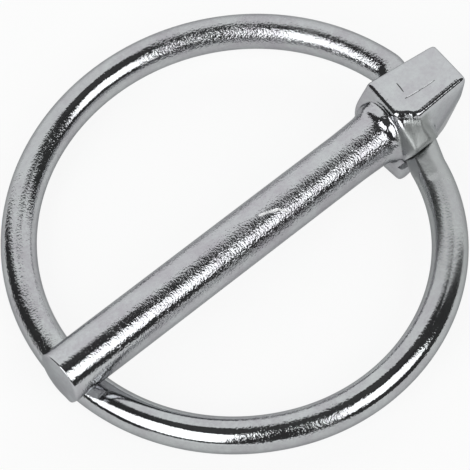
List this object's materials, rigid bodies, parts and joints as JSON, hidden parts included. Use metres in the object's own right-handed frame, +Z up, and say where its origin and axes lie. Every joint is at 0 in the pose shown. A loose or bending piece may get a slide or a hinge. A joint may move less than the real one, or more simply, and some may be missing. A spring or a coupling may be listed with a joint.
{
  "type": "lynch pin",
  "caption": "Forged pin with a block head and a sprung wire ring that swings over the end of the pin to lock it in a hole.",
  "frame": {"origin": "centre of the bounding box on the floor the pin lies on", "axes": "+X from the end of the shank to the head, +Z up"},
  "size_m": [0.0566, 0.0532, 0.0101],
  "materials": {
    "pin": "bright zinc plate on a forging, lightly grained",
    "ring": "bright zinc plate on spring wire"
  },
  "bodies": {
    "pin": {"pin": "pin"},
    "ring": {"ring": "ring"}
  },
  "joints": [
    {"name": "ring_swing", "type": "hinge", "parent": "pin", "child": "ring", "pos_m": [0.0218, -0.0023, 0.00533], "axis": [-0.4153, -0.9092, -0.0295], "range_deg": [0, 346]}
  ]
}
